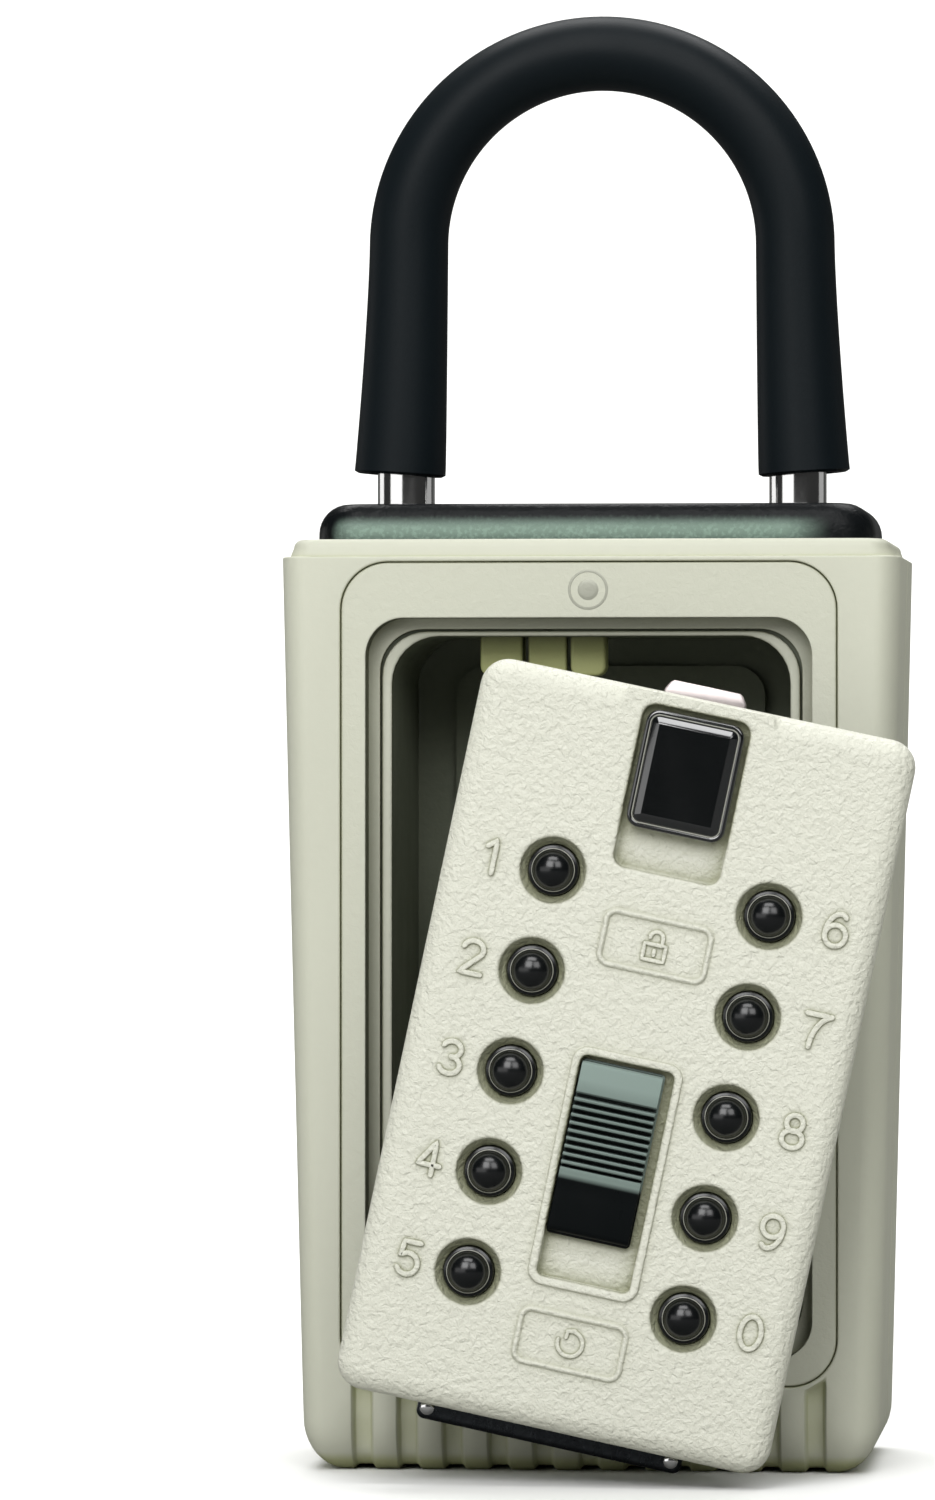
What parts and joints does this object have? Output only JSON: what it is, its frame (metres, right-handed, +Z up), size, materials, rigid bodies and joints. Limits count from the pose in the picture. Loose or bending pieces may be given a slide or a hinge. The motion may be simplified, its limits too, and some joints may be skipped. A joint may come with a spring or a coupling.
{
  "type": "key lock box",
  "caption": "Portable push-button key safe: a shackled body with an open key cavity and its keypad cover taken off in front.",
  "frame": {"origin": "centre of the body's flat foot, where it stands on a surface", "axes": "+Z up along the body and its shackle, +Y out of the flat back, so the key opening and the cover face -Y"},
  "size_m": [0.0704, 0.0595, 0.1611],
  "materials": {
    "cast_black": "semi-gloss black paint over a cast body",
    "clay_plastic": "moulded clay-beige plastic, satin",
    "clay_frame": "clay-beige, fine texture",
    "clay_cover": "clay-beige with a leather-like grain",
    "badge_metal": "satin round badge, plain",
    "screw_steel": "zinc-plated screws",
    "plate_steel": "rolled steel plate",
    "case_metal": "die-cast case, as cast",
    "chrome_bar": "polished hardened steel bar",
    "chrome_bolt": "polished steel",
    "hook_steel": "dark polished steel",
    "vinyl_black": "soft matte vinyl sleeve",
    "gloss_black": "high gloss black",
    "slider_grey": "dark grey ribbed slider",
    "spring_steel": "spring wire",
    "post_brass": "brass code posts"
  },
  "bodies": {
    "body": {"vault_body": "cast_black", "front_shell": "clay_plastic", "rear_shell": "clay_plastic", "bezel": "clay_frame", "seal_frame": "clay_frame", "badge": "badge_metal", "top_block": "cast_black", "block_screws": "screw_steel", "lever_guides": "clay_frame", "jacket_screws": "screw_steel"},
    "shackle_lock": {"lock_plate": "plate_steel", "release_lever": "clay_frame"},
    "shackle": {"shackle": "chrome_bar", "shackle_sleeve": "vinyl_black"},
    "cover": {"cover_shell": "clay_cover", "mechanism_case": "case_metal", "back_plate": "plate_steel", "plate_screws": "screw_steel", "hook_bar": "hook_steel", "hook_pins": "chrome_bolt", "button_springs": "spring_steel", "latch_spring": "spring_steel", "clear_spring": "spring_steel"},
    "open_slide": {"open_button": "gloss_black", "latch_bolt": "chrome_bolt"},
    "clear_slide": {"clear_slider": "slider_grey", "clear_comb": "plate_steel"},
    "button_1": {"button_1": "gloss_black"},
    "button_2": {"button_2": "gloss_black"},
    "button_3": {"button_3": "gloss_black"},
    "button_4": {"button_4": "gloss_black"},
    "button_5": {"button_5": "gloss_black"},
    "button_6": {"button_6": "gloss_black"},
    "button_7": {"button_7": "gloss_black"},
    "button_8": {"button_8": "gloss_black"},
    "button_9": {"button_9": "gloss_black"},
    "button_0": {"button_0": "gloss_black"},
    "code_post_1": {"code_post_1": "post_brass"},
    "code_post_2": {"code_post_2": "post_brass"},
    "code_post_3": {"code_post_3": "post_brass"},
    "code_post_4": {"code_post_4": "post_brass"},
    "code_post_5": {"code_post_5": "post_brass"},
    "code_post_6": {"code_post_6": "post_brass"},
    "code_post_7": {"code_post_7": "post_brass"},
    "code_post_8": {"code_post_8": "post_brass"},
    "code_post_9": {"code_post_9": "post_brass"},
    "code_post_0": {"code_post_0": "post_brass"}
  },
  "joints": [
    {"name": "shackle_lift", "type": "slide", "parent": "body", "child": "shackle", "axis": [0, 0, 1], "range_m": [0, 0.016]},
    {"name": "shackle_lock_push", "type": "slide", "parent": "body", "child": "shackle_lock", "axis": [0, 1, 0], "range_m": [0, 0.0032]},
    {"name": "cover_lift_off", "type": "slide", "parent": "body", "child": "cover", "axis": [0, -1, 0], "range_m": [0, 0.05]},
    {"name": "open_button_slide", "type": "slide", "parent": "cover", "child": "open_slide", "axis": [-0.2079, 0, -0.9781], "range_m": [0, 0.0043], "stiffness_N_per_m": 300, "deforming": ["latch_spring"]},
    {"name": "clear_slide", "type": "slide", "parent": "cover", "child": "clear_slide", "axis": [-0.2079, 0, -0.9781], "range_m": [0, 0.0042], "stiffness_N_per_m": 250, "deforming": ["clear_spring"]},
    {"name": "button_1_press", "type": "slide", "parent": "cover", "child": "button_1", "axis": [0, 1, 0], "range_m": [0, 0.002], "stiffness_N_per_m": 300, "deforming": ["button_springs"]},
    {"name": "button_2_press", "type": "slide", "parent": "cover", "child": "button_2", "axis": [0, 1, 0], "range_m": [0, 0.002], "stiffness_N_per_m": 300, "deforming": ["button_springs"]},
    {"name": "button_3_press", "type": "slide", "parent": "cover", "child": "button_3", "axis": [0, 1, 0], "range_m": [0, 0.002], "stiffness_N_per_m": 300, "deforming": ["button_springs"]},
    {"name": "button_4_press", "type": "slide", "parent": "cover", "child": "button_4", "axis": [0, 1, 0], "range_m": [0, 0.002], "stiffness_N_per_m": 300, "deforming": ["button_springs"]},
    {"name": "button_5_press", "type": "slide", "parent": "cover", "child": "button_5", "axis": [0, 1, 0], "range_m": [0, 0.002], "stiffness_N_per_m": 300, "deforming": ["button_springs"]},
    {"name": "button_6_press", "type": "slide", "parent": "cover", "child": "button_6", "axis": [0, 1, 0], "range_m": [0, 0.002], "stiffness_N_per_m": 300, "deforming": ["button_springs"]},
    {"name": "button_7_press", "type": "slide", "parent": "cover", "child": "button_7", "axis": [0, 1, 0], "range_m": [0, 0.002], "stiffness_N_per_m": 300, "deforming": ["button_springs"]},
    {"name": "button_8_press", "type": "slide", "parent": "cover", "child": "button_8", "axis": [0, 1, 0], "range_m": [0, 0.002], "stiffness_N_per_m": 300, "deforming": ["button_springs"]},
    {"name": "button_9_press", "type": "slide", "parent": "cover", "child": "button_9", "axis": [0, 1, 0], "range_m": [0, 0.002], "stiffness_N_per_m": 300, "deforming": ["button_springs"]},
    {"name": "button_0_press", "type": "slide", "parent": "cover", "child": "button_0", "axis": [0, 1, 0], "range_m": [0, 0.002], "stiffness_N_per_m": 300, "deforming": ["button_springs"]},
    {"name": "code_post_1_turn", "type": "hinge", "parent": "cover", "child": "code_post_1", "pos_m": [-0.00212, -0.03, 0.06619], "axis": [0, 1, 0], "range_deg": [0, 180]},
    {"name": "code_post_2_turn", "type": "hinge", "parent": "cover", "child": "code_post_2", "pos_m": [-0.0044, -0.03, 0.05546], "axis": [0, 1, 0], "range_deg": [0, 180]},
    {"name": "code_post_3_turn", "type": "hinge", "parent": "cover", "child": "code_post_3", "pos_m": [-0.00668, -0.03, 0.04473], "axis": [0, 1, 0], "range_deg": [0, 180]},
    {"name": "code_post_4_turn", "type": "hinge", "parent": "cover", "child": "code_post_4", "pos_m": [-0.00897, -0.03, 0.034], "axis": [0, 1, 0], "range_deg": [0, 180]},
    {"name": "code_post_5_turn", "type": "hinge", "parent": "cover", "child": "code_post_5", "pos_m": [-0.01125, -0.03, 0.02327], "axis": [0, 1, 0], "range_deg": [0, 180]},
    {"name": "code_post_6_turn", "type": "hinge", "parent": "cover", "child": "code_post_6", "pos_m": [0.02096, -0.03, 0.06128], "axis": [0, 1, 0], "range_deg": [0, 180]},
    {"name": "code_post_7_turn", "type": "hinge", "parent": "cover", "child": "code_post_7", "pos_m": [0.01868, -0.03, 0.05055], "axis": [0, 1, 0], "range_deg": [0, 180]},
    {"name": "code_post_8_turn", "type": "hinge", "parent": "cover", "child": "code_post_8", "pos_m": [0.0164, -0.03, 0.03982], "axis": [0, 1, 0], "range_deg": [0, 180]},
    {"name": "code_post_9_turn", "type": "hinge", "parent": "cover", "child": "code_post_9", "pos_m": [0.01412, -0.03, 0.02909], "axis": [0, 1, 0], "range_deg": [0, 180]},
    {"name": "code_post_0_turn", "type": "hinge", "parent": "cover", "child": "code_post_0", "pos_m": [0.01184, -0.03, 0.01836], "axis": [0, 1, 0], "range_deg": [0, 180]}
  ]
}
